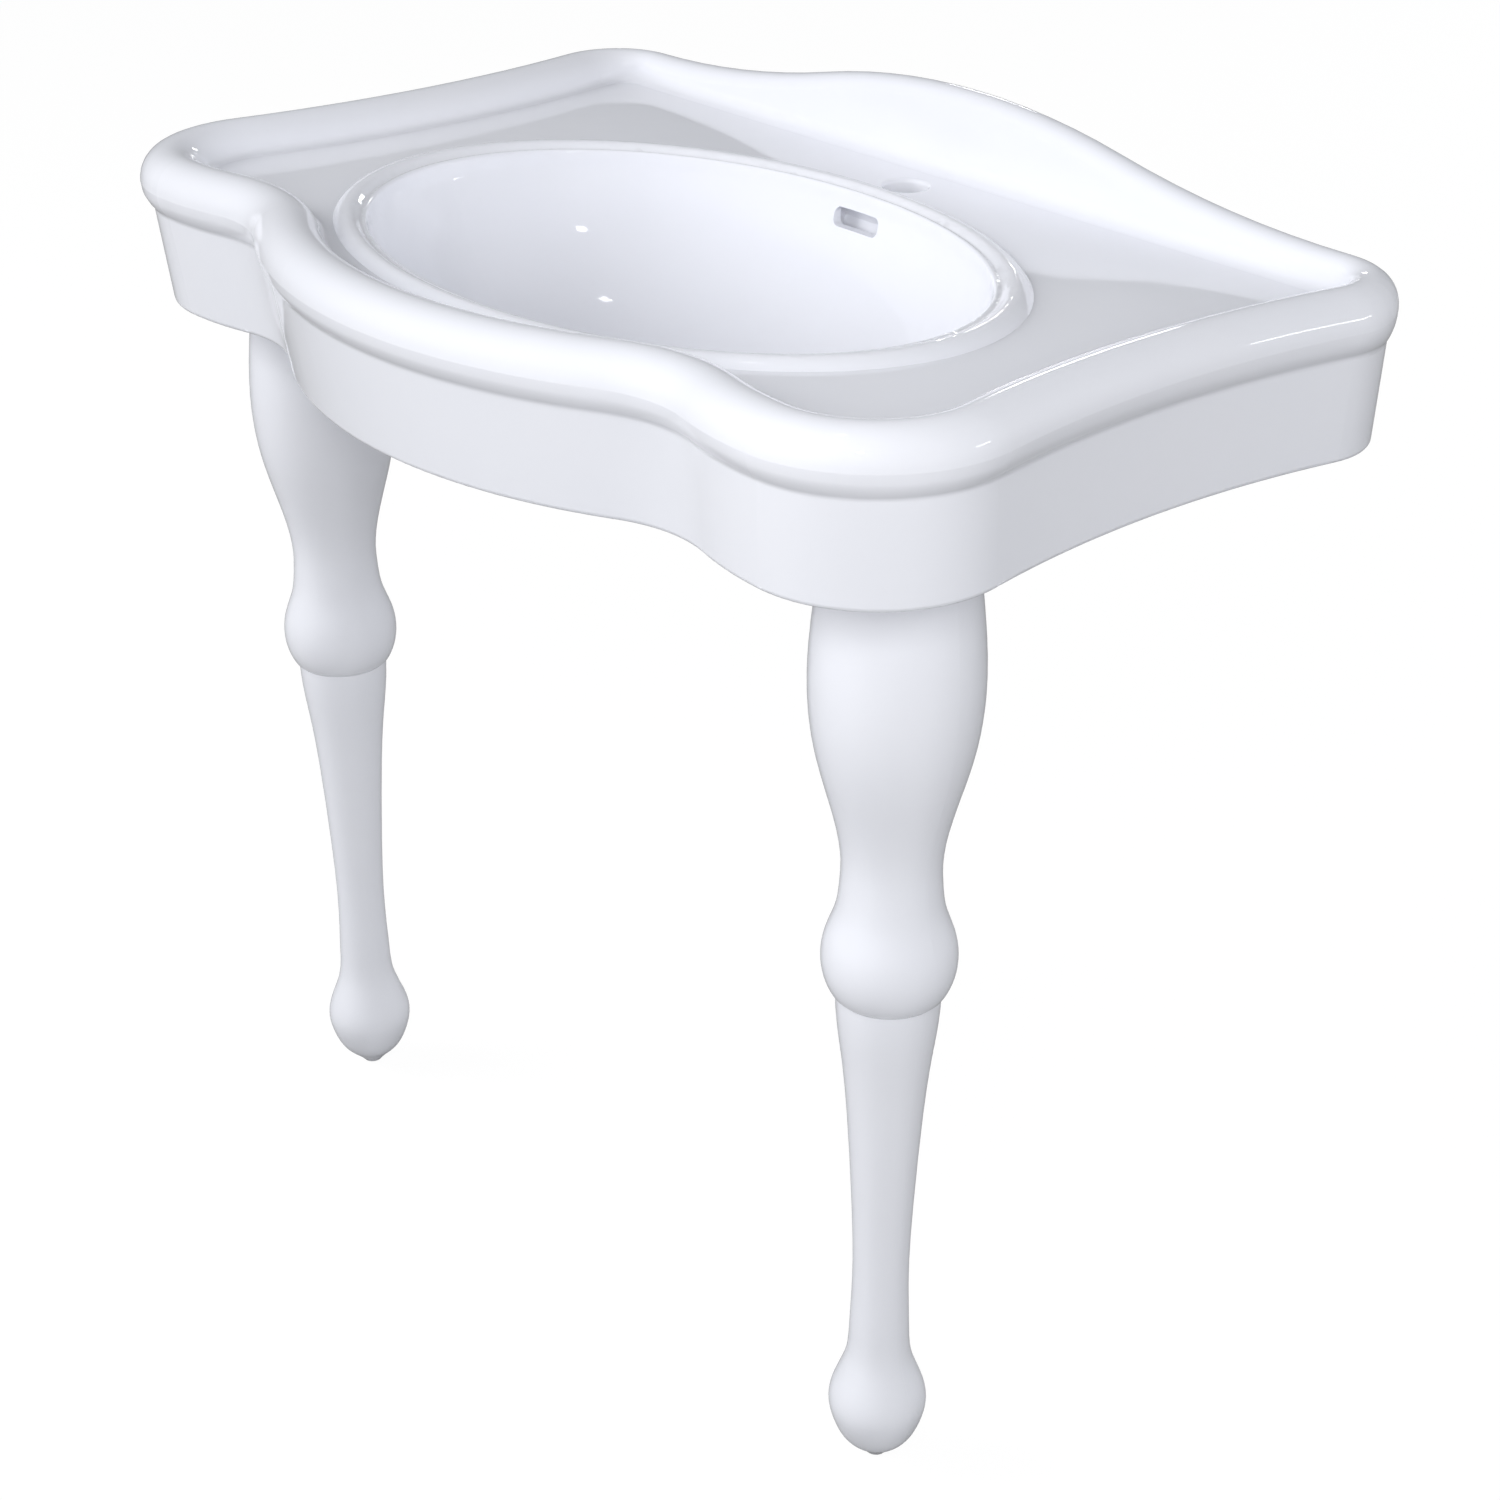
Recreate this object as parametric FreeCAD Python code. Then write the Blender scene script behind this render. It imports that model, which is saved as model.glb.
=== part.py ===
"""Console sink with two turned legs, in glazed vitreous china.

Millimetres, +Z up, +X to the right of someone who stands at the sink, and the wall at +Y.
The origin is on the floor, midway between the sides and midway between wall and front.

The sink is one hollow casting: a deck with an oval bowl, a rolled rim on a bowed and
coved skirt, and a camel-back splash against the wall. Each leg hangs on a bolt that a
cross bar inside the leg holds, and a wing nut above the corner seat draws it up.
"""
import FreeCAD
import Part
import math
import os

V = FreeCAD.Vector

# ---- plan of the casting at the groove under the rim, measured from the wall ----
half_width = 446.0        # middle plane to the side face
bow_reach = 579.0         # wall to the front of the bowed middle
ear_step = 55.5           # how much further back the front of the corners is
ear_from_side = 97.0      # side face to the front-most place of a corner
bow_chord = 175.0         # half the width over which the bow's rim follows the bowl's ring
bow_ease = 7.7            # how much more than the ring the rim falls back over it
cove_radius = 108.0       # hollow between bow and corner
ear_radius = 262.0        # flat curve on a corner's front
corner_radius = 95.0      # front corner
waist_radius = 850.0      # hollow side
back_radius = 62.0        # corner at the wall

# ---- skirt ----
skirt_height = 75.4
skirt_wall = 12.0
side_taper = 4.5          # how much narrower the lower edge is at each side
bow_taper = 12.0          # how much further back the lower edge is at the bow
ear_taper = 7.5           # the same at the corners
skirt_edge = 4.0          # rounding of the lower edge

# ---- rim and deck ----
deck_height = 853.0       # floor to deck
china_wall = 12.0
rim_radius = 24.5
rim_overhang = 9.0        # rim beyond the skirt
rim_drop = 0.5            # centre of the rim's round below the deck
groove_radius = 7.0       # hollow between rim and skirt
rim_cove = 8.0            # hollow between rim and deck
deck_strip = 2.0          # flat strip between that hollow and the deck panel
under_cove = 8.0          # hollow below the deck along the splash
corner_steps = 8          # sections where the rim turns into the splash
same_place = 0.01

# ---- splash ----
splash_rise = 67.0        # deck to the top of the camel back
splash_thick = 25.0
splash_crown = 735.0      # radius of the camel back's middle

# ---- bowl ----
ring_half_length = 310.5  # outline of the raised ring round the bowl
ring_from_rim = 13.4      # foot of the rim to the ring, in front
ring_from_wall = 98.9
ring_spread = 33.0        # width of the ring at the bowl's ends
bowl_depth = 150.0
bowl_wall = 10.0
ring_height = 7.0
drain_radius = 22.5
drain_seat_radius = 32.0
drain_seat_depth = 4.0
drain_boss_radius = 38.0

# ---- overflow ----
slot_length = 50.0
slot_height = 15.0
slot_drop = 19.0          # deck to the middle of the slot
slot_round = 6.0
channel_width = 60.0
channel_depth = 14.0
channel_wall = 8.0

# ---- tap hole and wall fixings ----
tap_radius = 17.5
tap_from_wall = 72.0
tap_round = 3.0
wall_hole_spacing = 280.0
wall_hole_drop = 53.0     # deck to the wall holes
wall_bolt_radius = 5.0
bush_clearance = 0.3      # bolt in bush
bush_wall = 2.5
bush_flange_radius = 14.0
bush_flange = 2.5
bush_fit = 0.2            # bush in its hole
bush_short = 0.5          # bush behind the wall face

# ---- legs ----
leg_from_side = 96.0      # side face to a leg's axis
leg_from_front = 123.5    # front of a corner to a leg's axis
foot_pad_proud = 1.5
leg_wall = 9.0
leg_land = 12.0           # solid top of a leg
leg_top_radius = 51.0
foot_radius = 37.0
shank_radius = 21.0
shank_top_radius = 37.3
knob_radius = 48.0
waist_leg_radius = 35.0
vase_radius = 59.4
collar_proud = 3.2        # step from the shank out to the knob
collar_rise = 3.0
foot_height = 55.0        # floor to the foot's widest place
ankle_rise = 110.0        # from there to the shank's thinnest place
knob_rise = 30.0          # shank's top to the knob's widest place
waist_rise = 73.0         # from there to the waist
vase_rise = 142.0         # from there to the vase's widest place
crown_rise = 92.0         # from there to the leg's top

# ---- leg fixing ----
seat_recess = 2.0         # seat above the skirt's lower edge
seat_thick = 12.0
seat_margin = 22.0        # seat past the leg's top, towards bowl and wall
gasket_thick = 3.0
bolt_radius = 4.0
bolt_clearance = 3.0      # bolt in the seat's hole
thread_gap = 0.05
bar_length = 54.0
bar_width = 16.0
bar_thick = 5.0
bar_corner = 2.0
bar_slot_gap = 1.0        # bar in the leg's slot, each side
bolt_below_nut = 4.0
bolt_chamfer = 0.8
nut_across = 13.0
nut_thick = 6.5
soft_washer_radius = 15.0
soft_washer_thick = 3.0
washer_radius = 12.0
washer_thick = 1.6
washer_gap = 0.4
wing_hub_radius = 8.0
wing_hub_height = 8.0
wing_span = 19.0          # axis to the tip of a wing
wing_height = 18.0
wing_thick = 3.0
bolt_past_nut = 18.0
gasket_hole = 32.0
foot_tip_radius = 8.0
pad_radius = 5.5
pad_thick = 4.0
pad_gap = 0.2

# ---- worked out ----
ear_x = half_width - ear_from_side
ear_reach = bow_reach - ear_step
depth = bow_reach + rim_overhang
wall_y = depth / 2
deck_under = deck_height - china_wall
rim_centre_u = rim_overhang - rim_radius
rim_centre_z = deck_height - rim_drop
groove_height = rim_centre_z - math.sqrt((rim_radius + groove_radius) ** 2 - (groove_radius - rim_centre_u) ** 2)
skirt_bottom = groove_height - skirt_height
rim_top = rim_centre_z + rim_radius
roll_radius = splash_thick / 2
rim_foot_u = rim_centre_u - math.sqrt((rim_radius + rim_cove) ** 2 - (rim_cove + rim_drop) ** 2)
splash_peak = deck_height + splash_rise
ring_half_width = (bow_reach + rim_foot_u - ring_from_rim - ring_from_wall) / 2
bow_drop = bow_ease + ring_half_width * (1 - math.sqrt(1 - (bow_chord / ring_half_length) ** 2))
bow_radius = (bow_chord ** 2 + bow_drop ** 2) / (2 * bow_drop) - rim_foot_u
bowl_half_length = ring_half_length - ring_spread
bowl_half_width = bowl_half_length * ring_half_width / ring_half_length
bowl_y = wall_y - ring_from_wall - ring_half_width
wall_hole_height = deck_height - wall_hole_drop
leg_x = half_width - leg_from_side
leg_y = wall_y - ear_reach + leg_from_front
seat_under = skirt_bottom + seat_recess
seat_top = seat_under + seat_thick
leg_top = seat_under - gasket_thick
leg_tip = foot_pad_proud
bar_top = leg_top - leg_land
bar_under = bar_top - bar_thick
wing_base = seat_top + soft_washer_thick + washer_thick


# ---------------------------------------------------------------- small helpers
def box(x0, x1, y0, y1, z0, z1):
    return Part.makeBox(x1 - x0, y1 - y0, z1 - z0, V(x0, y0, z0))


def cylinder(radius, z0, z1, x=0.0, y=0.0):
    return Part.makeCylinder(radius, z1 - z0, V(x, y, z0))


def line(a, b):
    return Part.LineSegment(a, b).toShape()


def arc(a, middle, b):
    return Part.Arc(a, middle, b).toShape()


def solid_of(shape):
    """The one solid of a boolean's result, with its normals outward."""
    solid = shape.Solids[0]
    if solid.Volume < 0:
        solid.reverse()
    return solid


def mirrored(shape):
    return shape.mirror(V(0, 0, 0), V(1, 0, 0))


def holed(*wires):
    """A flat face from its outline and the outlines of its holes."""
    return Part.makeFace(list(wires), "Part::FaceMakerBullseye")


def save(name, shape):
    shape.exportStep("parts/" + name + ".step")


# ---------------------------------------------------------------- plan outline
# An outline is a run of tangent arcs, from the wall on the left round the front to the
# wall on the right. Each arc is (centre, radius, first normal, last normal). A hollow has
# a negative radius, so centre + (radius + offset) * normal is a point of any arc.

def circles_meet(centre_a, reach_a, centre_b, reach_b):
    """The point to the right of the way from a to b, reach_a from a and reach_b from b."""
    gap = centre_b - centre_a
    along = (gap.Length ** 2 + reach_a ** 2 - reach_b ** 2) / (2 * gap.Length)
    across = math.sqrt(reach_a ** 2 - along ** 2)
    unit = gap * (1 / gap.Length)
    return centre_a + unit * along + V(unit.y, -unit.x, 0) * across


def right_circles(half, bow, ear):
    """Centre and radius of each arc of the right half, from the front to the wall."""
    bowed = V(0, wall_y - bow + bow_radius, 0)
    front = V(ear_x, wall_y - ear + ear_radius, 0)
    corner_x = half - corner_radius
    drop = math.sqrt((ear_radius - corner_radius) ** 2 - (corner_x - ear_x) ** 2)
    corner = V(corner_x, front.y - drop, 0)
    back = V(half - back_radius, wall_y - back_radius, 0)
    cove = circles_meet(bowed, bow_radius + cove_radius, front, ear_radius + cove_radius)
    waist = circles_meet(corner, waist_radius + corner_radius, back, waist_radius + back_radius)
    return [(bowed, bow_radius), (cove, -cove_radius), (front, ear_radius),
            (corner, corner_radius), (waist, -waist_radius), (back, back_radius)]


def outline_arcs(half, bow, ear):
    circles = right_circles(half, bow, ear)
    joints = [(b[0] - a[0]) * (1 / (a[1] - b[1])) for a, b in zip(circles, circles[1:])]
    normals = [V(0, -1, 0)] + joints + [V(0, 1, 0)]
    right = [(c, r, n0, n1) for (c, r), n0, n1 in zip(circles, normals, normals[1:])]
    left = [(across(c), r, across(n1), across(n0)) for c, r, n0, n1 in reversed(right)]
    bow_arc = (right[0][0], right[0][1], across(right[0][3]), right[0][3])
    return left[:-1] + [bow_arc] + right[1:]


def across(vector):
    return V(-vector.x, vector.y, vector.z)


def on_arc(piece, normal, offset, height):
    centre, radius = piece[:2]
    spot = centre + normal * (radius + offset)
    return V(spot.x, spot.y, height)


def outline_wire(arcs, offset, height, corner=None, wall_offset=None):
    """The closed outline at an offset. The edge of a corner at the wall can be given."""
    edges = []
    for piece in arcs:
        first, last = piece[2:]
        middle = (first + last).normalize()
        points = [on_arc(piece, normal, offset, height) for normal in (first, middle, last)]
        edges.append(arc(*points))
    if corner:
        edges[0] = mirrored(corner)
        edges[-1] = corner
    end = on_arc(arcs[-1], arcs[-1][3], wall_offset or offset, height)
    edges.append(line(end, across(end)))
    return Part.Wire(edges)


groove_arcs = outline_arcs(half_width, bow_reach, ear_reach)
lower_arcs = outline_arcs(half_width - side_taper, bow_reach - bow_taper, ear_reach - ear_taper)
splash_end = groove_arcs[-1][0].x


# ---------------------------------------------------------------- rim sections
# A section lies in a plane square to the outline. Its points are (offset, height), and
# each edge has two points, or three where it is an arc. The rim's section at the corner's
# start turns into the splash's section at the wall point by point.

def touch(centre, radius, towards):
    """The point of a round nearest to another place."""
    run = (towards[0] - centre[0], towards[1] - centre[1])
    reach = math.hypot(*run)
    return (centre[0] + run[0] * radius / reach, centre[1] + run[1] * radius / reach)


def midway(a, b):
    return ((a[0] + b[0]) / 2, (a[1] + b[1]) / 2)


def rim_section():
    centre = (rim_centre_u, rim_centre_z)
    inner = rim_radius - china_wall
    cove = (rim_foot_u, deck_height + rim_cove)
    groove = (0, groove_height)
    groove_centre = (groove_radius, groove_height)
    neck = touch(groove_centre, groove_radius, centre)
    groove_middle = touch(groove_centre, groove_radius, midway(groove, neck))
    outermost = (rim_overhang, rim_centre_z)
    lower = touch(centre, rim_radius, midway(neck, outermost))
    crest = (rim_centre_u, rim_top)
    landing = touch(centre, rim_radius, cove)
    foot = (cove[0], deck_height)
    cove_middle = touch(cove, rim_cove, midway(landing, foot))
    edge = foot[0] - deck_strip
    under = (cove[0], deck_under)
    under_land = touch(centre, inner, cove)
    under_middle = touch(cove, rim_cove + china_wall, cove_middle)
    inner_top = (-skirt_wall, rim_centre_z + math.sqrt(inner ** 2 - (skirt_wall + rim_centre_u) ** 2))
    inner_middle = touch(centre, inner, midway(under_land, inner_top))
    return [[groove, groove_middle, neck],
            [neck, lower, outermost],
            [outermost, crest, landing],
            [landing, cove_middle, foot],
            [foot, (edge, deck_height)],
            [(edge, deck_height), (edge, deck_under)],
            [(edge, deck_under), under],
            [under, under_middle, under_land],
            [under_land, inner_middle, inner_top],
            [inner_top, (-skirt_wall, groove_height)],
            [(-skirt_wall, groove_height), groove]]


def splash_section():
    roll_z = rim_top - roll_radius
    foot_radius_here = roll_z - deck_height
    foot = (-splash_thick - foot_radius_here, deck_height)
    cove = (foot[0], roll_z)
    cove_middle = touch(cove, foot_radius_here, (0, roll_z - splash_thick - foot_radius_here))
    edge = foot[0] - deck_strip
    under = (-skirt_wall - under_cove, deck_under)
    under_land = (-skirt_wall - under_cove * 0.5, deck_under - under_cove * 0.125)
    under_middle = (-skirt_wall - under_cove * 0.75, deck_under - under_cove * 0.04)
    below = (-skirt_wall - under_cove * 0.15, deck_under - under_cove * 0.35)
    groove = (0, groove_height)
    neck = (0, groove_height + groove_radius / 2)
    low = (groove_height + deck_under) / 2
    return [[groove, midway(groove, neck), neck],
            [neck, midway(neck, (0, roll_z)), (0, roll_z)],
            [(0, roll_z), (-roll_radius, rim_top), (-splash_thick, roll_z)],
            [(-splash_thick, roll_z), cove_middle, foot],
            [foot, (edge, deck_height)],
            [(edge, deck_height), (edge, deck_under)],
            [(edge, deck_under), under],
            [under, under_middle, under_land],
            [under_land, below, (-skirt_wall, low)],
            [(-skirt_wall, low), (-skirt_wall, groove_height)],
            [(-skirt_wall, groove_height), groove]]


def blend(a, b, share):
    return [[(p[0] + (q[0] - p[0]) * share, p[1] + (q[1] - p[1]) * share)
             for p, q in zip(edge_a, edge_b)] for edge_a, edge_b in zip(a, b)]


def section_wire(section, piece, normal):
    edges = []
    for points in section:
        spots = [on_arc(piece, normal, u, z) for u, z in points]
        straight = len(spots) == 2 or abs((spots[1] - spots[0]).cross(spots[2] - spots[0]).Length) < 1e-6
        edges.append(line(spots[0], spots[-1]) if straight else arc(*spots))
    return Part.Wire(edges)


def turn(first, last):
    """Angle in degrees from one normal to the next, anticlockwise from above."""
    return math.degrees(math.atan2(first.cross(last).z, first.dot(last)))


def swept(chain, piece):
    """The faces that a run of section edges sweeps along one arc of the outline."""
    centre, radius, first, last = piece
    return section_wire(chain, piece, first).revolve(centre, V(0, 0, 1), turn(first, last)).Faces


def turned_in(pick, piece):
    """The faces at the corner by the wall, where the rim narrows into the splash."""
    first, last = piece[2:]
    wires = []
    for step in range(corner_steps + 1):
        share = step / corner_steps
        eased = share * share * (3 - 2 * share)
        normal = FreeCAD.Rotation(V(0, 0, 1), turn(first, last) * share).multVec(first)
        wires.append(section_wire(pick(blend(rim_section(), splash_section(), eased)), piece, normal))
    return Part.makeLoft(wires, False, False).Faces


def top_side(section):
    return section[:5]


def under_side(section):
    return section[6:10]


def deck_edge(section):
    """The offset at which a section meets the flat panel of the deck."""
    return section[5][0][0]


def corner_faces():
    return turned_in(top_side, groove_arcs[-1]) + turned_in(under_side, groove_arcs[-1])


def corner_edge(corner, offset, height, wall_offset=None):
    """The edge of the corner's faces that runs along the outline at an offset."""
    piece = groove_arcs[-1]
    ends = [on_arc(piece, piece[2], offset, height), on_arc(piece, piece[3], wall_offset or offset, height)]
    for edge in [edge for face in corner for edge in face.Edges]:
        points = [vertex.Point for vertex in edge.Vertexes]
        if all(min(point.distanceToPoint(end) for point in points) < same_place for end in ends):
            return edge


def rim_faces(corner):
    faces = []
    for piece in groove_arcs[1:-1]:
        faces += swept(top_side(rim_section()), piece) + swept(under_side(rim_section()), piece)
    return faces + corner + [mirrored(face) for face in corner]


# ---------------------------------------------------------------- splash, deck and skirt
def splash_faces():
    """The foot along the wall, both sides of the camel back, and the roll along its top."""
    rise = splash_peak - rim_top
    flare = (splash_end ** 2 + rise ** 2) / (2 * rise) - splash_crown
    crown_centre = V(0, wall_y, splash_peak - splash_crown)
    flare_centre = V(splash_end, wall_y, rim_top + flare)
    crown_line = splash_crown - roll_radius
    flare_line = flare + roll_radius
    way = (flare_centre - crown_centre).normalize()
    meet = crown_centre + way * crown_line
    low_way = (V(0, 0, -1) - way).normalize()
    end = V(splash_end, wall_y, rim_top - roll_radius)
    crown = arc(across(meet), crown_centre + V(0, 0, crown_line), meet)
    right = arc(meet, flare_centre + low_way * flare_line, end)
    outline_edges = [crown, right, line(end, across(end)), mirrored(right)]
    back = Part.Face(Part.Wire(Part.__sortEdges__(outline_edges)))
    front = back.translated(V(0, -splash_thick, 0))
    forward = V(0, -roll_radius, 0)
    half_turn = arc(meet, meet + forward + way * roll_radius, meet + forward * 2)
    lean = math.degrees(math.atan2(way.x, way.z))
    crown_roll = half_turn.revolve(crown_centre, V(0, 1, 0), -2 * lean)
    right_roll = half_turn.revolve(flare_centre, V(0, 1, 0), -lean)
    section = splash_section()
    foot_chain = section[:2] + top_side(section)[3:] + under_side(section)
    wires = [section_wire([edge], groove_arcs[-1], V(0, 1, 0)) for edge in foot_chain]
    foot = [wire.extrude(V(-2 * splash_end, 0, 0)) for wire in wires]
    faces = [back, front, crown_roll, right_roll, mirrored(right_roll)] + foot
    return [face for shape in faces for face in shape.Faces]


def deck_faces(corner):
    edge = deck_edge(rim_section())
    rear = deck_edge(splash_section())
    outlines = [outline_wire(groove_arcs, edge, height, corner_edge(corner, edge, height, rear), rear)
                for height in (deck_height, deck_under)]
    bowl_holes = [oval(quarter_circles(ring_curve()[0][0], deck_height)),
                  oval(quarter_circles(bowl_curve(bowl_wall)[0][0], deck_under))]
    bore = tap_bore()
    tap_holes = [circle_wire(tap_radius + tap_round, deck_height), circle_wire(tap_radius, deck_under)]
    return [holed(*wires) for wires in zip(outlines, bowl_holes, tap_holes)] + bore


def skirt_faces(corner):
    sides = []
    lower = []
    for offset in (0, -skirt_wall):
        upper = outline_wire(groove_arcs, offset, groove_height, corner_edge(corner, offset, groove_height))
        lower.append(outline_wire(lower_arcs, offset, skirt_bottom))
        sides += Part.makeLoft([lower[-1], upper], False, True).Faces
    return sides + [holed(*lower)]


# ---------------------------------------------------------------- bowl
def oval(round_shape):
    """A round shape about the middle, squeezed to the bowl's proportions and put in place."""
    squeeze = FreeCAD.Matrix()
    squeeze.A22 = bowl_half_width / bowl_half_length
    squeeze.A24 = bowl_y
    return round_shape.transformGeometry(squeeze)


def spline(points):
    curve = Part.BSplineCurve()
    curve.interpolate([V(r, 0, z) for r, z in points])
    return curve.toShape()


def bowl_curve(grow):
    """The bowl's side from its edge to its flat floor, grown outwards by a wall."""
    radius = bowl_half_length + grow
    drop = bowl_depth + grow
    shape = [(0.985, 0.13), (0.945, 0.32), (0.86, 0.56), (0.70, 0.79), (0.46, 0.94), (0.32, 0.985)]
    return [(radius * r, deck_height - drop * z) for r, z in shape + [(0.22, 1.0)]]


def ring_curve():
    """The raised ring: over its round crest, down to a groove, and over the bowl's lip."""
    crest = [(1.0, 0.0), (0.94, 0.27), (0.84, 0.60), (0.70, 0.90), (0.54, 1.0), (0.38, 0.82), (0.27, 0.5)]
    lip = [(0.18, 0.33), (0.11, 0.42), (0.05, 0.30), (0.014, -0.15), (0.0, -1.0)]
    return [(bowl_half_length + ring_spread * r, deck_height + ring_height * z)
            for r, z in crest + lip]


def quarter_turns(edge):
    """The surface an edge makes in one turn about the middle, as four equal faces."""
    shell = [edge.revolve(V(0, 0, 0), V(0, 0, 1), 90)]
    return [shell[0].rotated(V(0, 0, 0), V(0, 0, 1), 90 * number) for number in range(4)]


def quarter_circles(radius, height):
    return Part.Wire([Part.makeCircle(radius, V(0, 0, height), V(0, 0, 1), 90 * number, 90 * number + 90)
                      for number in range(4)])


def bowl_faces():
    outside = bowl_curve(bowl_wall)
    below = [(outside[0][0], deck_under)] + outside[1:]
    sides = [spline(ring_curve() + bowl_curve(0)), spline(below)]
    faces = [face for side in sides for turned in quarter_turns(side) for face in oval(turned).Faces]
    floors = [Part.Face(oval(quarter_circles(*bowl_curve(grow)[-1]))) for grow in (0, bowl_wall)]
    return faces + floors


def casting():
    corner = corner_faces()
    faces = rim_faces(corner) + splash_faces() + deck_faces(corner) + skirt_faces(corner) + bowl_faces()
    skin = Part.makeCompound(faces)
    skin.sewShape()
    solid = Part.Solid(skin.Shells[0])
    if solid.Volume < 0:
        solid.reverse()
    return solid


def rounded_edges(solid, low, radius, reach):
    """Round the lower outer edges of the skirt."""
    edges = [edge for edge in solid.Edges
             if edge.BoundBox.ZMax < low + same_place and edge.BoundBox.YMin < reach]
    return solid.makeFillet(radius, edges)


def behind_bowl(near, far, half, top):
    """A band that follows the rear of the bowl between two walls, as wide as it is told."""
    squeeze = bowl_half_width / bowl_half_length
    rows = []
    for grow in (near, far):
        points = [V(-half, bowl_y + r * squeeze, z) for r, z in bowl_curve(grow)]
        rows.append([V(-half, points[0].y, top)] + points + [V(-half, bowl_y, points[-1].z)])
    corners = rows[0] + rows[1][::-1]
    return Part.Face(Part.makePolygon(corners + corners[:1])).extrude(V(2 * half, 0, 0))


def overflow_boss():
    """The hood behind the bowl and round the drain that the overflow's channel runs in."""
    outer = bowl_wall + channel_depth + channel_wall
    hood = behind_bowl(bowl_wall / 2, outer, channel_width / 2 + channel_wall, deck_under + 2)
    low = deck_height - bowl_depth - outer
    return hood.fuse(cylinder(drain_boss_radius, low, low + outer - bowl_wall / 2, 0, bowl_y))


def overflow_channel():
    return behind_bowl(bowl_wall, bowl_wall + channel_depth, channel_width / 2, deck_under - 3)


def overflow_slot():
    height = deck_height - slot_drop
    reach = bowl_half_width + bowl_wall
    slot = box(-slot_length / 2, slot_length / 2, bowl_y, bowl_y + reach,
               height - slot_height / 2, height + slot_height / 2)
    along = [edge for edge in slot.Edges if edge.BoundBox.XLength < 1 and edge.BoundBox.ZLength < 1]
    return slot.makeFillet(slot_round, along)


def drain_bore():
    floor = deck_height - bowl_depth
    seat = Part.makeCone(drain_radius, drain_seat_radius, drain_seat_depth + 3,
                         V(0, bowl_y, floor - drain_seat_depth))
    return cylinder(drain_radius, 0, floor + 1, 0, bowl_y).fuse(seat)


def circle_wire(radius, height):
    return Part.Wire(Part.makeCircle(radius, V(0, wall_y - tap_from_wall, height)))


def tap_bore():
    """The tap hole's side, with its upper edge rounded."""
    y = wall_y - tap_from_wall
    low = V(tap_radius, y, deck_under)
    high = V(tap_radius, y, deck_height - tap_round)
    lip = V(tap_radius + tap_round, y, deck_height)
    slack = tap_round * (1 - math.sqrt(0.5))
    edges = [line(low, high), arc(high, V(tap_radius + slack, y, deck_height - slack), lip)]
    return [edge.revolve(V(0, y, 0), V(0, 0, 1), 360).Faces[0] for edge in edges]


def wall_hole_xs():
    return (-wall_hole_spacing / 2, wall_hole_spacing / 2)


bush_outer = wall_bolt_radius + bush_clearance + bush_wall


def wall_hole(x):
    return Part.makeCylinder(bush_outer + bush_fit, skirt_wall + 2,
                             V(x, wall_y - skirt_wall - 1, wall_hole_height), V(0, 1, 0))


def leg_seat():
    """The shelf in a front corner that the leg's top bears on."""
    plan = Part.Face(outline_wire(lower_arcs, -skirt_wall / 2, seat_under))
    inner = leg_x - leg_top_radius - seat_margin
    rear = leg_y + leg_top_radius + seat_margin
    area = box(inner, half_width, -depth / 2, rear, seat_under, seat_top)
    corner = [edge for edge in area.Edges if edge.BoundBox.ZLength > 1
              and edge.BoundBox.XMax < inner + 1 and edge.BoundBox.YMin > rear - 1]
    area = area.makeFillet(seat_margin, corner)
    shelf = plan.extrude(V(0, 0, seat_thick)).common(area)
    return shelf.cut(cylinder(bolt_radius + bolt_clearance, seat_under - 1, seat_top + 1, leg_x, leg_y))


def console_top():
    body = rounded_edges(casting(), skirt_bottom, skirt_edge, wall_y - 1)
    seat = leg_seat()
    body = body.fuse([seat, mirrored(seat), overflow_boss()])
    holes = [overflow_channel(), overflow_slot(), drain_bore()]
    holes += [wall_hole(x) for x in wall_hole_xs()]
    return solid_of(body.cut(holes))


# ---------------------------------------------------------------- legs
def drawn(start, end, shape):
    """Points between two places, each as its share of the way across and up, and then the end."""
    points = [(start[0] + (end[0] - start[0]) * out, start[1] + (end[1] - start[1]) * up) for out, up in shape]
    return points + [end]


def leg_curve():
    """A leg's side in two runs, foot and shank, then knob and vase, as (radius, height).

    The turned forms at each end keep their lengths, and the shank between them takes the rest.
    """
    vase = (vase_radius, leg_top - crown_rise)
    waist = (waist_leg_radius, vase[1] - vase_rise)
    knob = (knob_radius, waist[1] - waist_rise)
    shank_top = (shank_top_radius, knob[1] - knob_rise)
    collar = (shank_top_radius + collar_proud, shank_top[1] + collar_rise)
    tip = (foot_tip_radius, leg_tip)
    foot = (foot_radius, foot_height)
    shank = (shank_radius, foot_height + ankle_rise)
    lower = [tip] + drawn(tip, foot, [(0.19, 0.12), (0.61, 0.35), (0.88, 0.645)])
    lower += drawn(foot, shank, [(0.36, 0.2), (0.75, 0.365), (0.91, 0.61)])
    lower += drawn(shank, shank_top, [(0.117, 0.298), (0.374, 0.575), (0.663, 0.774), (0.945, 0.925)])
    upper = [collar] + drawn(collar, knob, [(0.627, 0.37)])
    upper += drawn(knob, waist, [(0.185, 0.233), (0.7, 0.493), (0.954, 0.795)])
    upper += drawn(waist, vase, [(0.266, 0.282), (0.8, 0.634)])
    upper += drawn(vase, (leg_top_radius, leg_top), [(0.25, 0.413)])
    return lower, upper


def placed(shape):
    """A piece made about the upright axis, put on the right leg's axis."""
    return shape.translated(V(leg_x, leg_y, 0))


def turned_solid(edges):
    return solid_of(Part.Face(Part.Wire(edges)).revolve(V(0, 0, 0), V(0, 0, 1), 360))


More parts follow.
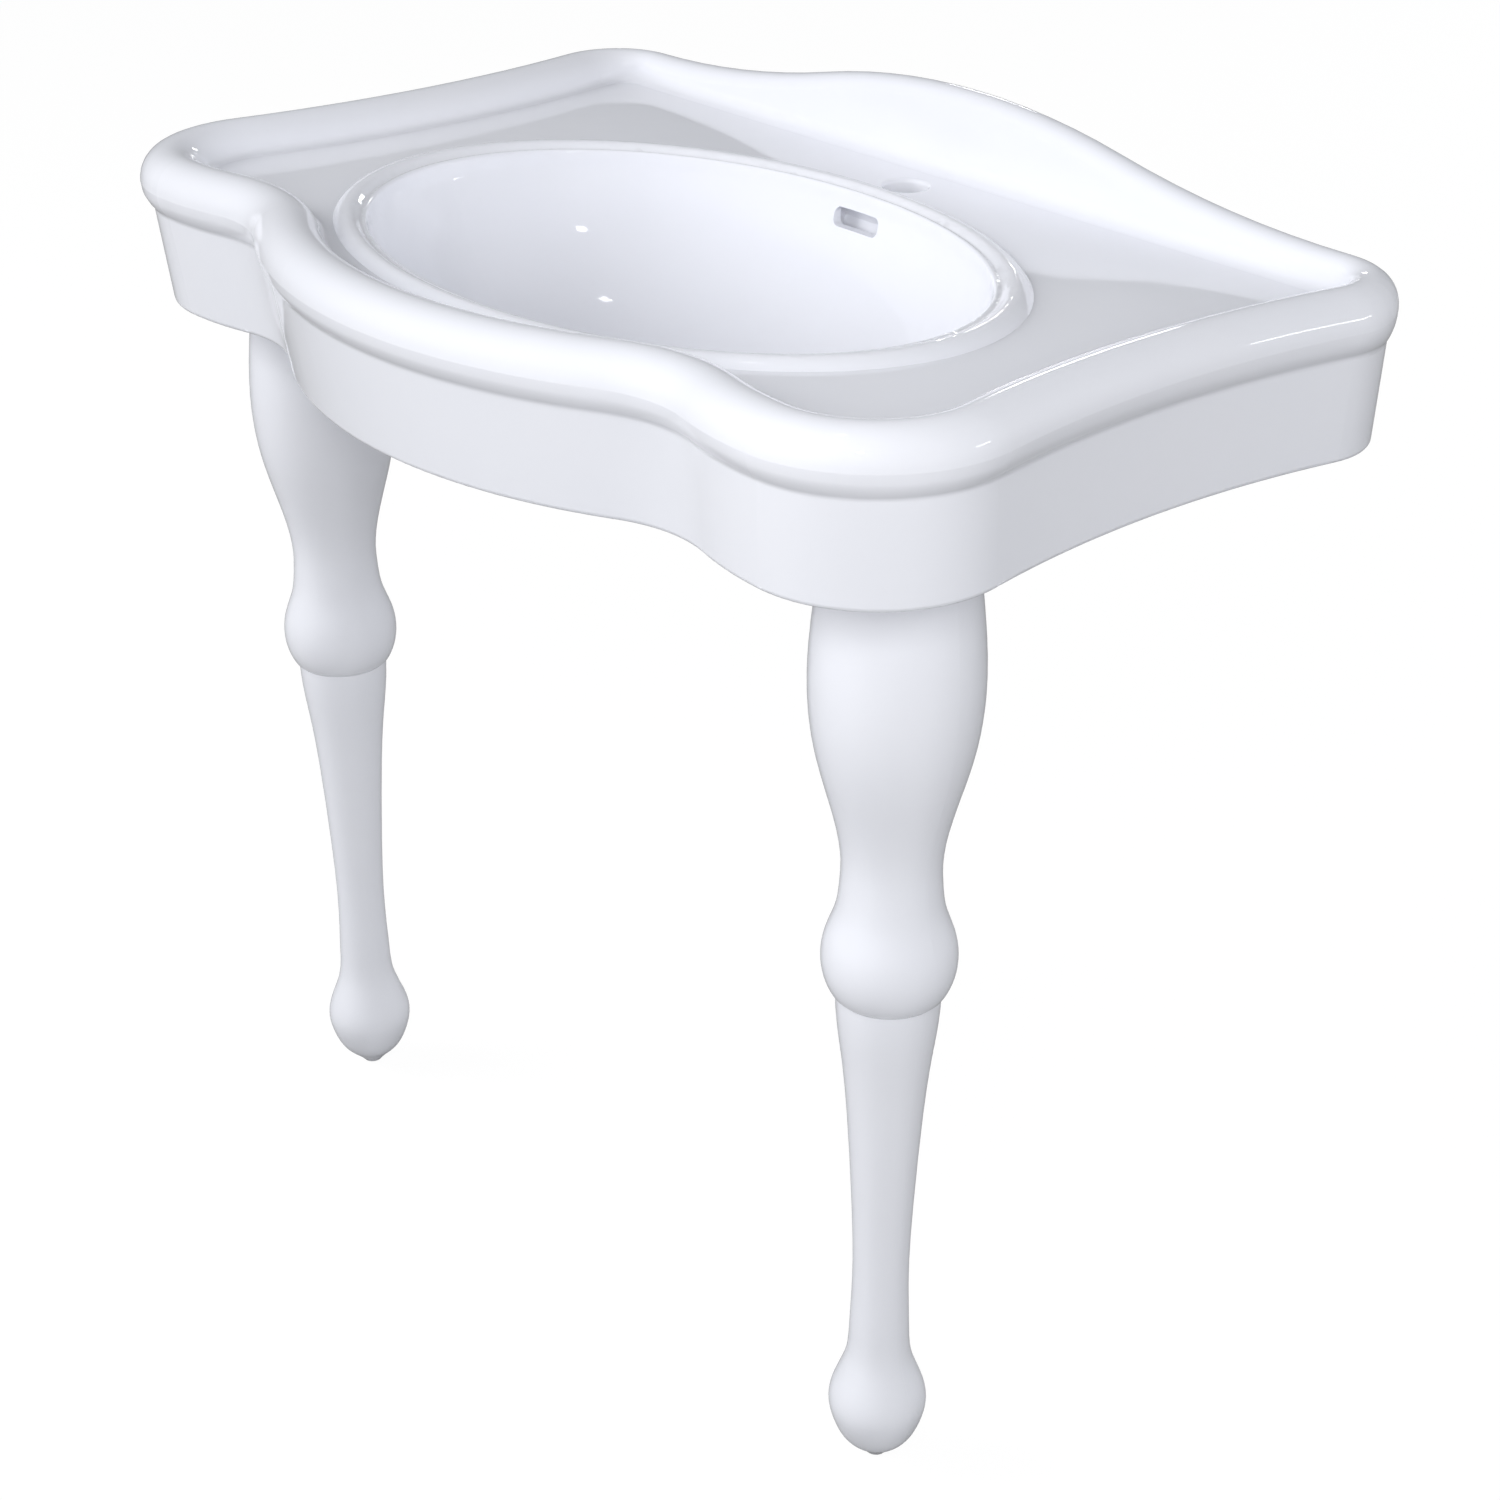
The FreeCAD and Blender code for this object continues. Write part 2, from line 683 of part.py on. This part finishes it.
def leg_body():
    lower, upper = leg_curve()
    foot = V(lower[0][0], 0, leg_tip)
    knob = [V(r, 0, z) for r, z in (lower[-1], upper[0])]
    crown = V(leg_top_radius, 0, leg_top)
    axis = [V(0, 0, leg_tip), V(0, 0, leg_top)]
    return turned_solid([line(axis[0], foot), spline(lower), line(*knob), spline(upper),
                         line(crown, axis[1]), line(axis[1], axis[0])])


def leg_hollow():
    """The cast hollow of a leg, one wall in from its side, closed by the land at its top."""
    lower, upper = leg_curve()
    side = [(r - leg_wall, z) for r, z in lower[3:] + upper[1:-1]]
    side.append((leg_top_radius - leg_wall, bar_top))
    floor = V(side[0][0], 0, side[0][1])
    axis = [V(0, 0, floor.z), V(0, 0, bar_top)]
    return turned_solid([line(axis[0], floor), spline(side), line(V(side[-1][0], 0, bar_top), axis[1]),
                         line(axis[1], axis[0])])


def leg():
    slot_x = bar_length / 2 + bar_slot_gap
    slot_y = bar_width / 2 + bar_slot_gap
    slot = box(-slot_x, slot_x, -slot_y, slot_y, bar_top - 1, leg_top + 1)
    recess = cylinder(pad_radius + pad_gap, 0, pad_thick)
    return placed(solid_of(leg_body().cut(leg_hollow()).cut(slot).cut(recess)))


def foot_pad():
    return placed(cylinder(pad_radius, 0, pad_thick))


# ---------------------------------------------------------------- leg fixing
def ring(outer, inner, z0, z1):
    return cylinder(outer, z0, z1).cut(cylinder(inner, z0 - 1, z1 + 1))


def cross_bar():
    """The bar that goes in through the slot and lies across it, below the leg's land."""
    bar = box(-bar_width / 2, bar_width / 2, -bar_length / 2, bar_length / 2, bar_under, bar_top)
    upright = [edge for edge in bar.Edges if edge.BoundBox.ZLength > 1]
    bar = bar.makeFillet(bar_corner, upright)
    return placed(bar.cut(cylinder(bolt_radius + thread_gap, bar_under - 1, bar_top + 1)))


def jam_nut():
    corner = nut_across / math.sqrt(3)
    points = [V(corner, 0, bar_under)]
    points = [FreeCAD.Rotation(V(0, 0, 1), 60 * number).multVec(points[0]) for number in range(7)]
    nut = Part.Face(Part.makePolygon(points)).extrude(V(0, 0, -nut_thick))
    cone = Part.makeCone(corner - nut_thick / 4, corner + nut_thick, nut_thick * 1.25,
                         V(0, 0, bar_under - nut_thick))
    return placed(nut.common(cone).cut(cylinder(bolt_radius + thread_gap, bar_under - nut_thick - 1, bar_under + 1)))


def leg_bolt():
    low = bar_under - nut_thick - bolt_below_nut
    bolt = cylinder(bolt_radius, low, wing_base + wing_hub_height + bolt_past_nut)
    return placed(bolt.makeChamfer(bolt_chamfer, [edge for edge in bolt.Edges if len(edge.Vertexes) == 1]))


def gasket():
    return placed(ring(leg_top_radius - 1, gasket_hole, leg_top, seat_under))


def soft_washer():
    return placed(ring(soft_washer_radius, bolt_radius + washer_gap, seat_top, seat_top + soft_washer_thick))


def steel_washer():
    low = seat_top + soft_washer_thick
    return placed(ring(washer_radius, bolt_radius + washer_gap, low, low + washer_thick))


def wing_place(out, up):
    """A place on a wing's near face, from the nut's axis and its base."""
    return V(out, -wing_thick / 2, wing_base + up)


def wing_nut():
    hub = Part.makeCone(wing_hub_radius, wing_hub_radius * 0.8, wing_hub_height, V(0, 0, wing_base))
    root = wing_place(wing_hub_radius * 0.6, wing_hub_height * 0.1)
    low = wing_place((wing_hub_radius + wing_span) * 0.4, wing_height * 0.1)
    out = wing_place(wing_span * 0.85, wing_height * 0.33)
    tip = wing_place(wing_span, wing_height * 0.72)
    brow = wing_place(wing_span * 0.97, wing_height * 0.92)
    crest = wing_place(wing_span * 0.82, wing_height)
    dip = wing_place(wing_span * 0.63, wing_height * 0.63)
    back = wing_place(wing_hub_radius * 0.6, wing_hub_height * 0.94)
    edges = [arc(root, low, out), line(out, tip), arc(tip, brow, crest), arc(crest, dip, back), line(back, root)]
    wing = Part.Face(Part.Wire(edges)).extrude(V(0, wing_thick, 0))
    nut = hub.fuse([wing, mirrored(wing)])
    return placed(nut.cut(cylinder(bolt_radius + thread_gap, wing_base - 1, wing_base + wing_height + 1)))


def wall_bush(x):
    """The flanged bush that a wall bolt goes through, from inside the skirt."""
    inside = wall_y - skirt_wall
    y_axis = V(0, 1, 0)
    sleeve = Part.makeCylinder(bush_outer, skirt_wall - bush_short, V(x, inside, wall_hole_height), y_axis)
    flange = Part.makeCylinder(bush_flange_radius, bush_flange,
                               V(x, inside - bush_flange, wall_hole_height), y_axis)
    bore = Part.makeCylinder(wall_bolt_radius + bush_clearance, skirt_wall + bush_flange + 2,
                             V(x, inside - bush_flange - 1, wall_hole_height), y_axis)
    return sleeve.fuse(flange).cut(bore).removeSplitter()


# ---------------------------------------------------------------- the whole
def main():
    os.makedirs("parts", exist_ok=True)
    save("console_top", console_top())
    pieces = {"leg": leg(), "foot_pad": foot_pad(), "leg_cross_bar": cross_bar(), "leg_jam_nut": jam_nut(),
              "leg_bolt": leg_bolt(), "leg_gasket": gasket(), "seat_washer": soft_washer(),
              "steel_washer": steel_washer(), "wing_nut": wing_nut(),
              "wall_bush": wall_bush(wall_hole_spacing / 2)}
    for name, piece in pieces.items():
        save(name + "_right", piece)
        save(name + "_left", mirrored(piece))


main()
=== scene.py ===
"""Looks for the console sink: glazed china, its leg fixings, studio light and camera."""
import math

import bpy
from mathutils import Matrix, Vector


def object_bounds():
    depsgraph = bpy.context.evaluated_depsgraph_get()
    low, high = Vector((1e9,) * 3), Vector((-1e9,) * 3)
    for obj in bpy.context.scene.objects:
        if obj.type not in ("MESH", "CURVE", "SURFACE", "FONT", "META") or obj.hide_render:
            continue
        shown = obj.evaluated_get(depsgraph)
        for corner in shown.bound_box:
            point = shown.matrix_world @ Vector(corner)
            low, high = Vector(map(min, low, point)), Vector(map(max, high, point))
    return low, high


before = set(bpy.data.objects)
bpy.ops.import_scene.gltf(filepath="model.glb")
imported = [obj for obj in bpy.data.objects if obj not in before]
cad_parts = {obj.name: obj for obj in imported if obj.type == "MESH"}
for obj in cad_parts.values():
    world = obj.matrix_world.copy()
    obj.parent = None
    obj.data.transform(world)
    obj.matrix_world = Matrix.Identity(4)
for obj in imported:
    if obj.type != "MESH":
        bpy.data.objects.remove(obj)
cad_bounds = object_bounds()

# the scene is in metres
MM = 0.001

# how far apart the marks of each finish lie, in metres
GLAZE_DRIFT = 140 * MM
GLAZE_WAVER = 38 * MM
GLAZE_RIPPLE = 7 * MM
BODY_GRAIN = 1.5 * MM
RUBBER_BLOOM = 9 * MM
RUBBER_GRAIN = 0.6 * MM
ZINC_CLOUD = 4 * MM
ZINC_GRAIN = 0.8 * MM
NYLON_FLOW = 6 * MM
THREAD_PITCH = 1.25 * MM

# the glaze gives way to bare body between these two distances from the wall
GLAZE_ENDS = 0.5 * MM
BODY_STARTS = 0.2 * MM

# the paper floor: its width in metres, the white that the camera sees on it, and the share of
# that white that takes no shadow
FLOOR_WIDTH = 14
PAPER_GLOW = 1.18
PAPER_SHARE = 0.8

# the light that comes from all round
ROOM_LIGHT = 0.31

# the photograph's angle: the camera's place in metres, turn and drop in degrees, lens in mm
EYE = (1.52957, -1.2275, 1.45612)
EYE_TURN = 49.85
EYE_DROP = 27.6
LENS = 65.98
SENSOR = 36

# the lamps: name, degrees from the front, degrees up, metres from AIM, width and height,
# watts, and whether the glaze mirrors it
AIM = Vector((0, 0, 0.7))
BROAD = (3.6, 3.6)
LAMPS = (
    ("front_left_softbox", -45, 25, 6, BROAD, 222, False),
    ("front_right_softbox", 50, 24, 6, BROAD, 68, False),
    ("right_softbox", 90, 20, 6, BROAD, 46, False),
    ("rear_softbox", 180, 10, 6, BROAD, 100, False),
    ("near_fill", 43, 24, 1.9, (1.0, 1.0), 10, False),
    ("rear_left_glint", -141, 18, 3, (0.4, 0.12), 2.2, True),
    ("rear_right_glint", 121, 18, 3, (0.6, 0.1), 2.2, True),
    ("near_glint", 43, 38, 3, (0.18, 0.18), 2, True),
    ("overhead_glint", 0, 80, 3, (0.15, 0.15), 1, True),
)


# ---------------------------------------------------------------- small helpers
def linear(code):
    """A hex colour as the renderer wants it, with the display curve taken out."""
    parts = [int(code[k:k + 2], 16) / 255 for k in (1, 3, 5)]
    levels = [c / 12.92 if c <= 0.04045 else ((c + 0.055) / 1.055) ** 2.4 for c in parts]
    return (*levels, 1.0)


def new_material(name):
    material = bpy.data.materials.new(name)
    material.use_nodes = True
    material.node_tree.nodes.clear()
    return material


def add(tree, kind, values=None, links=None, **settings):
    """One node: its settings, then the numbers on its sockets, then what feeds them."""
    node = tree.nodes.new("ShaderNode" + kind)
    for name, value in settings.items():
        setattr(node, name, value)
    for socket, value in (values or {}).items():
        node.inputs[socket].default_value = value
    for socket, source in (links or {}).items():
        tree.links.new(source, node.inputs[socket])
    return node


def finish_with(tree, shader):
    add(tree, "OutputMaterial", links={"Surface": shader.outputs[0]})


# ---------------------------------------------------------------- materials
def glazed_china(name, wall_face=None):
    """White vitreous china under a fired gloss glaze.

    The glaze lies a little unevenly, so straight reflections waver, and its gloss and its
    white drift very slightly over a hand's width. The face against the wall is dipped no
    further than its edge, so it keeps the matt, creamy body.
    """
    material = new_material(name)
    tree = material.node_tree
    place = add(tree, "TexCoord").outputs["Object"]
    drift = add(tree, "TexNoise", {"Scale": 1 / GLAZE_DRIFT, "Detail": 2.0},
                {"Vector": place}).outputs["Fac"]
    white = add(tree, "Mix", {"A": linear("#F3F4FA"), "B": linear("#F0F2F9")},
                {"Factor": drift}, data_type="RGBA")
    gloss = add(tree, "MapRange", {"To Min": 0.04, "To Max": 0.07}, {"Value": drift})
    waver = add(tree, "TexNoise", {"Scale": 1 / GLAZE_WAVER, "Detail": 1.0, "Roughness": 0.35},
                {"Vector": place})
    ripple = add(tree, "TexNoise", {"Scale": 1 / GLAZE_RIPPLE, "Detail": 1.0}, {"Vector": place})
    slow = add(tree, "Bump", {"Strength": 0.35, "Distance": 0.30 * MM},
               {"Height": waver.outputs["Fac"]})
    fine = add(tree, "Bump", {"Strength": 0.25, "Distance": 0.03 * MM},
               {"Height": ripple.outputs["Fac"], "Normal": slow.outputs["Normal"]})
    colour = white.outputs["Result"]
    roughness = gloss.outputs["Result"]
    normal = fine.outputs["Normal"]
    if wall_face:
        colour, roughness, normal = bare_rear(tree, place, wall_face, colour, roughness, normal)
    shader = add(tree, "BsdfPrincipled", {"IOR": 1.52},
                 {"Base Color": colour, "Roughness": roughness, "Normal": normal})
    finish_with(tree, shader)
    return material


def bare_rear(tree, place, wall_face, colour, roughness, normal):
    """The unglazed body on the last half millimetre before the wall, with a sponged grain."""
    depth = add(tree, "SeparateXYZ", links={"Vector": place}).outputs["Y"]
    bare = add(tree, "MapRange",
               {"From Min": wall_face - GLAZE_ENDS, "From Max": wall_face - BODY_STARTS},
               {"Value": depth}).outputs["Result"]
    grain = add(tree, "TexNoise", {"Scale": 1 / BODY_GRAIN, "Detail": 3.0},
                {"Vector": place}).outputs["Fac"]
    body = add(tree, "Mix", {"A": linear("#E9E4D8"), "B": linear("#DED8CA")},
               {"Factor": grain}, data_type="RGBA")
    rough = add(tree, "Bump", {"Strength": 0.6, "Distance": 0.08 * MM}, {"Height": grain})
    colour = add(tree, "Mix", links={"Factor": bare, "A": colour, "B": body.outputs["Result"]},
                 data_type="RGBA")
    roughness = add(tree, "Mix", {"B": 0.75}, {"Factor": bare, "A": roughness})
    normal = add(tree, "Mix", links={"Factor": bare, "A": normal, "B": rough.outputs["Normal"]},
                 data_type="VECTOR")
    return colour.outputs["Result"], roughness.outputs["Result"], normal.outputs["Result"]


def moulded_rubber():
    """Black moulded rubber: matt, with a fine grain and a dusty bloom."""
    material = new_material("moulded_black_rubber")
    tree = material.node_tree
    place = add(tree, "TexCoord").outputs["Object"]
    bloom = add(tree, "TexNoise", {"Scale": 1 / RUBBER_BLOOM, "Detail": 4.0}, {"Vector": place})
    black = add(tree, "Mix", {"A": linear("#232325"), "B": linear("#343437")},
                {"Factor": bloom.outputs["Fac"]}, data_type="RGBA")
    grain = add(tree, "TexNoise", {"Scale": 1 / RUBBER_GRAIN, "Detail": 2.0}, {"Vector": place})
    bump = add(tree, "Bump", {"Strength": 0.5, "Distance": 0.05 * MM}, {"Height": grain.outputs["Fac"]})
    shader = add(tree, "BsdfPrincipled", {"Roughness": 0.72, "IOR": 1.5},
                 {"Base Color": black.outputs["Result"], "Normal": bump.outputs["Normal"]})
    finish_with(tree, shader)
    return material


def zinc_plate(name, thread_pitch=None):
    """Steel with bright zinc plate: cool grey metal, cloudy gloss, and a rolled thread on bolts."""
    material = new_material(name)
    tree = material.node_tree
    place = add(tree, "TexCoord").outputs["Object"]
    cloud = add(tree, "TexNoise", {"Scale": 1 / ZINC_CLOUD, "Detail": 5.0}, {"Vector": place})
    metal = add(tree, "Mix", {"A": linear("#C4C8CC"), "B": linear("#D6D8D9")},
                {"Factor": cloud.outputs["Fac"]}, data_type="RGBA")
    gloss = add(tree, "MapRange", {"To Min": 0.22, "To Max": 0.42}, {"Value": cloud.outputs["Fac"]})
    if thread_pitch:
        # the wave node's bands repeat every tau / (20 * scale)
        relief = add(tree, "TexWave", {"Scale": math.tau / (20 * thread_pitch), "Distortion": 0.0},
                     {"Vector": place}, wave_type="BANDS", bands_direction="Z", wave_profile="TRI")
        depth, strength = 0.6 * thread_pitch, 1.0
    else:
        relief = add(tree, "TexNoise", {"Scale": 1 / ZINC_GRAIN, "Detail": 2.0}, {"Vector": place})
        depth, strength = 0.02 * MM, 0.4
    bump = add(tree, "Bump", {"Strength": strength, "Distance": depth},
               {"Height": relief.outputs["Fac"]})
    shader = add(tree, "BsdfPrincipled", {"Metallic": 1.0},
                 {"Base Color": metal.outputs["Result"], "Roughness": gloss.outputs["Result"],
                  "Normal": bump.outputs["Normal"]})
    finish_with(tree, shader)
    return material


def natural_nylon():
    """Natural moulded nylon: milky and satin, with faint marks of its flow in the mould."""
    material = new_material("moulded_natural_nylon")
    tree = material.node_tree
    place = add(tree, "TexCoord").outputs["Object"]
    flow = add(tree, "TexNoise", {"Scale": 1 / NYLON_FLOW, "Detail": 3.0}, {"Vector": place})
    milky = add(tree, "Mix", {"A": linear("#E9E7DC"), "B": linear("#DEDBCD")},
                {"Factor": flow.outputs["Fac"]}, data_type="RGBA")
    bump = add(tree, "Bump", {"Strength": 0.3, "Distance": 0.03 * MM}, {"Height": flow.outputs["Fac"]})
    shader = add(tree, "BsdfPrincipled", {"Roughness": 0.4, "IOR": 1.53},
                 {"Base Color": milky.outputs["Result"], "Normal": bump.outputs["Normal"]})
    finish_with(tree, shader)
    return material


def dress():
    casting = glazed_china("glazed_vitreous_china", wall_face=cad_bounds[1][1])
    china = glazed_china("glazed_china_leg")
    rubber = moulded_rubber()
    plate = zinc_plate("bright_zinc_plate")
    thread = zinc_plate("zinc_plated_thread", thread_pitch=THREAD_PITCH)
    nylon = natural_nylon()
    finishes = {"console_top": casting, "leg": china, "foot_pad": rubber, "leg_gasket": rubber,
                "seat_washer": rubber, "leg_cross_bar": plate, "leg_jam_nut": plate,
                "steel_washer": plate, "wing_nut": plate, "leg_bolt": thread, "wall_bush": nylon}
    for name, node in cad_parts.items():
        kind = name.removesuffix("_left").removesuffix("_right")
        node.data.materials.clear()
        node.data.materials.append(finishes[kind])


# ---------------------------------------------------------------- room, light and camera
def backdrop_material():
    """A white paper floor: it shows as plain white and keeps the sink's soft shadow."""
    material = new_material("white_backdrop_paper")
    tree = material.node_tree
    ray = add(tree, "LightPath").outputs["Is Camera Ray"]
    paper = add(tree, "BsdfDiffuse", {"Color": linear("#A8A8A8")})
    lit = add(tree, "Emission", {"Color": linear("#FFFFFF"), "Strength": PAPER_GLOW})
    seen = add(tree, "MixShader", {0: PAPER_SHARE}, {1: paper.outputs[0], 2: lit.outputs[0]})
    sheet = add(tree, "MixShader", links={0: ray, 1: paper.outputs[0], 2: seen.outputs[0]})
    finish_with(tree, sheet)
    return material


def room():
    bpy.ops.mesh.primitive_plane_add(size=FLOOR_WIDTH, location=(0, 0, 0))
    floor = bpy.context.object
    floor.name = "paper_floor"
    floor.data.materials.append(backdrop_material())
    world = bpy.data.worlds.new("studio")
    bpy.context.scene.world = world
    world.use_nodes = True
    tree = world.node_tree
    tree.nodes.clear()
    ray = add(tree, "LightPath")
    around = add(tree, "Background", {"Color": linear("#F4F6FA"), "Strength": ROOM_LIGHT})
    white = add(tree, "Background", {"Color": linear("#FFFFFF"), "Strength": 1.0})
    mix = add(tree, "MixShader", links={0: ray.outputs["Is Camera Ray"],
                                        1: around.outputs[0], 2: white.outputs[0]})
    add(tree, "OutputWorld", links={"Surface": mix.outputs[0]})


def soft_lamp(name, turn, rise, distance, size, power, mirrored):
    """A lamp aimed at the sink. The glaze mirrors only the small ones, the glints."""
    turn, rise = math.radians(turn), math.radians(rise)
    away = Vector((math.sin(turn) * math.cos(rise),
                   -math.cos(turn) * math.cos(rise),
                   math.sin(rise)))
    lamp = bpy.data.lights.new(name, "AREA")
    lamp.shape = "RECTANGLE"
    lamp.size, lamp.size_y = size
    lamp.energy = power
    holder = bpy.data.objects.new(name, lamp)
    holder.location = AIM + distance * away
    holder.rotation_euler = (-away).to_track_quat("-Z", "Y").to_euler()
    holder.visible_camera = False
    holder.visible_glossy = mirrored
    bpy.context.scene.collection.objects.link(holder)


def camera():
    """The photograph's angle, turned round to the right and looking down."""
    view = bpy.data.cameras.new("camera")
    view.sensor_width = SENSOR
    view.lens = LENS
    eye = bpy.data.objects.new("camera", view)
    eye.location = EYE
    eye.rotation_euler = (math.radians(90 - EYE_DROP), 0, math.radians(EYE_TURN))
    bpy.context.scene.collection.objects.link(eye)
    bpy.context.scene.camera = eye


dress()
room()
for lamp_row in LAMPS:
    soft_lamp(*lamp_row)
camera()
bpy.context.scene.view_settings.view_transform = "Standard"
bpy.context.view_layer.update()
